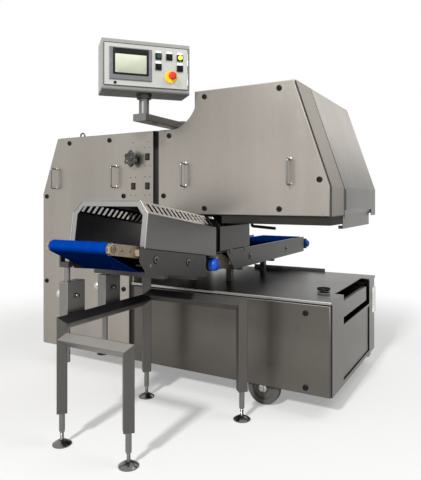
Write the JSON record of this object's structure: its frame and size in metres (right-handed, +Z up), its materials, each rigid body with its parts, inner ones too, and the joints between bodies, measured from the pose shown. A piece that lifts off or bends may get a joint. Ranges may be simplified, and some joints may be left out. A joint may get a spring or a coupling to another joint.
{
  "type": "dough divider",
  "caption": "Floor-standing dough divider: drive cabinet, dividing head over a base, hooded belt conveyor on a tube stand and a swinging control box.",
  "frame": {"origin": "on the floor, under the middle of the whole machine's box", "axes": "+Z up, +X along the machine's long side from the drive cabinet to the free end, +Y from the operator's front to the back"},
  "size_m": [1.75, 2.1521, 1.704],
  "materials": {
    "stainless": "fine upright brushing",
    "stainless_dark": "fine level brushing",
    "polished_steel": "polished",
    "black_plastic": "moulded",
    "wheel_grey": "moulded",
    "display": "smooth",
    "green_button": "moulded",
    "amber_button": "moulded",
    "yellow_plastic": "moulded",
    "red_button": "moulded",
    "tan_plastic": "machined",
    "belt_blue": "woven, matt",
    "roller_blue": "turned",
    "white_plastic": "machined",
    "motor_grey": "satin paint"
  },
  "bodies": {
    "machine": {"cabinet_shell": "stainless", "cabinet_front_panel": "stainless", "setting_gauges": "black_plastic", "lifting_eye": "polished_steel", "base_frame": "stainless_dark", "base_top_plate": "stainless_dark", "base_front_panel": "stainless_dark", "head_shell": "stainless", "head_front_panel": "stainless", "rear_panels": "stainless", "panel_locks": "black_plastic", "panel_handles": "polished_steel", "wheel_axle": "stainless_dark", "arm_pivot": "stainless", "outfeed_plates": "stainless", "transfer_plates": "stainless", "roller_arms": "tan_plastic", "outfeed_belt": "belt_blue", "transfer_belt": "belt_blue", "conveyor_cross_members": "stainless", "hood": "stainless", "throat_guard": "stainless", "throat_seal": "black_plastic", "stand_uprights": "stainless", "stand_rails": "stainless", "cross_rail": "stainless", "levelling_feet": "polished_steel", "rod_clamps": "stainless", "support_rods": "polished_steel", "divider_frame": "stainless", "hopper_chute": "stainless", "gearmotor": "motor_grey"},
    "handwheel": {"handwheel": "black_plastic"},
    "drawer": {"crumb_drawer": "stainless"},
    "end_cover": {"end_cover": "stainless", "cover_grip": "stainless"},
    "front_wheel": {"front_wheel": "wheel_grey"},
    "rear_wheel": {"rear_wheel": "wheel_grey"},
    "control_arm": {"control_arm": "stainless"},
    "control_box": {"control_box": "stainless"},
    "box_door": {"box_door": "stainless", "display_panel": "display", "button_holders": "black_plastic", "stop_collar": "yellow_plastic"},
    "start_button": {"start_button": "green_button"},
    "reset_button": {"reset_button": "black_plastic"},
    "signal_button": {"signal_button": "amber_button"},
    "mode_selector": {"mode_selector": "black_plastic"},
    "speed_selector": {"speed_selector": "black_plastic"},
    "stop_mushroom": {"stop_mushroom": "red_button"},
    "box_lock": {"box_lock": "black_plastic"},
    "drive_drum": {"drive_drum": "polished_steel"},
    "nose_roller": {"nose_roller": "roller_blue"},
    "tail_roller": {"tail_roller": "roller_blue"},
    "near_roller": {"near_roller": "polished_steel"},
    "far_roller": {"far_roller": "roller_blue"},
    "dividing_drum": {"dividing_drum": "white_plastic"},
    "drum_pistons": {"drum_pistons": "polished_steel"},
    "front_feed_roller": {"front_feed_roller": "white_plastic"},
    "rear_feed_roller": {"rear_feed_roller": "white_plastic"}
  },
  "joints": [
    {"name": "handwheel_turn", "type": "hinge", "parent": "machine", "child": "handwheel", "pos_m": [-0.182, -0.33015, 1.168], "axis": [0, 1, 0], "continuous": true},
    {"name": "drawer_slide", "type": "slide", "parent": "machine", "child": "drawer", "axis": [1, 0, 0], "range_m": [0, 0.33]},
    {"name": "cover_lift", "type": "hinge", "parent": "machine", "child": "end_cover", "pos_m": [0.692, 0.11735, 1.476], "axis": [0, -1, 0], "range_deg": [0, 70]},
    {"name": "front_wheel_spin", "type": "hinge", "parent": "machine", "child": "front_wheel", "pos_m": [0.548, -0.28815, 0.078], "axis": [0, 1, 0], "continuous": true},
    {"name": "rear_wheel_spin", "type": "hinge", "parent": "machine", "child": "rear_wheel", "pos_m": [0.548, 0.52285, 0.078], "axis": [0, 1, 0], "continuous": true},
    {"name": "arm_swing", "type": "hinge", "parent": "machine", "child": "control_arm", "pos_m": [-0.0095, -0.13015, 1.34], "axis": [0, 0, 1], "range_deg": [-95, 0]},
    {"name": "box_swivel", "type": "hinge", "parent": "control_arm", "child": "control_box", "pos_m": [-0.0095, -0.47615, 1.45], "axis": [0, 0, 1], "range_deg": [-80, 10]},
    {"name": "box_door_swing", "type": "hinge", "parent": "control_box", "child": "box_door", "pos_m": [0.17765, -0.37217, 1.5825], "axis": [0, 0, 1], "range_deg": [0, 100]},
    {"name": "start_button_press", "type": "slide", "parent": "box_door", "child": "start_button", "axis": [-0.7431, 0.6691, 0], "range_m": [0, 0.004], "stiffness_N_per_m": 400},
    {"name": "reset_button_press", "type": "slide", "parent": "box_door", "child": "reset_button", "axis": [-0.7431, 0.6691, 0], "range_m": [0, 0.004], "stiffness_N_per_m": 400},
    {"name": "signal_button_press", "type": "slide", "parent": "box_door", "child": "signal_button", "axis": [-0.7431, 0.6691, 0], "range_m": [0, 0.004], "stiffness_N_per_m": 400},
    {"name": "mode_turn", "type": "hinge", "parent": "box_door", "child": "mode_selector", "pos_m": [0.08158, -0.48334, 1.5865], "axis": [0.7431, -0.6691, 0], "range_deg": [-45, 45]},
    {"name": "speed_turn", "type": "hinge", "parent": "box_door", "child": "speed_selector", "pos_m": [0.15251, -0.40457, 1.5865], "axis": [0.7431, -0.6691, 0], "range_deg": [-45, 45]},
    {"name": "stop_mushroom_press", "type": "slide", "parent": "box_door", "child": "stop_mushroom", "axis": [-0.7431, 0.6691, 0], "range_m": [0, 0.004], "stiffness_N_per_m": 400},
    {"name": "lock_turn", "type": "hinge", "parent": "box_door", "child": "box_lock", "pos_m": [-0.05599, -0.63613, 1.4985], "axis": [0.7431, -0.6691, 0], "range_deg": [0, 90]},
    {"name": "drive_drum_spin", "type": "hinge", "parent": "machine", "child": "drive_drum", "pos_m": [0.107, -0.84515, 0.69], "axis": [1, 0, 0], "continuous": true},
    {"name": "nose_spin", "type": "hinge", "parent": "machine", "child": "nose_roller", "pos_m": [0.107, -1.02715, 0.768], "axis": [1, 0, 0], "continuous": true},
    {"name": "tail_spin", "type": "hinge", "parent": "machine", "child": "tail_roller", "pos_m": [0.107, -0.32315, 0.636], "axis": [1, 0, 0], "continuous": true},
    {"name": "near_spin", "type": "hinge", "parent": "machine", "child": "near_roller", "pos_m": [0.107, -0.24015, 0.66], "axis": [1, 0, 0], "continuous": true},
    {"name": "far_spin", "type": "hinge", "parent": "machine", "child": "far_roller", "pos_m": [0.107, 1.02785, 0.637], "axis": [1, 0, 0], "continuous": true},
    {"name": "divider_spin", "type": "hinge", "parent": "machine", "child": "dividing_drum", "pos_m": [0.107, 0.11735, 0.985], "axis": [1, 0, 0], "continuous": true},
    {"name": "piston_stroke", "type": "slide", "parent": "dividing_drum", "child": "drum_pistons", "axis": [0, 0, 1], "range_m": [-0.02, 0.02]},
    {"name": "front_feed_spin", "type": "hinge", "parent": "machine", "child": "front_feed_roller", "pos_m": [0.107, 0.06535, 1.122], "axis": [1, 0, 0], "continuous": true},
    {"name": "rear_feed_spin", "type": "hinge", "parent": "machine", "child": "rear_feed_roller", "pos_m": [0.107, 0.16935, 1.122], "axis": [1, 0, 0], "continuous": true}
  ],
  "couplings": [
    {"joint": "nose_spin", "follows": "drive_drum_spin", "ratio": 1.2174},
    {"joint": "tail_spin", "follows": "drive_drum_spin", "ratio": 1.2174},
    {"joint": "near_spin", "follows": "far_spin", "ratio": 2},
    {"joint": "front_feed_spin", "follows": "divider_spin", "ratio": -2},
    {"joint": "rear_feed_spin", "follows": "divider_spin", "ratio": 2}
  ]
}
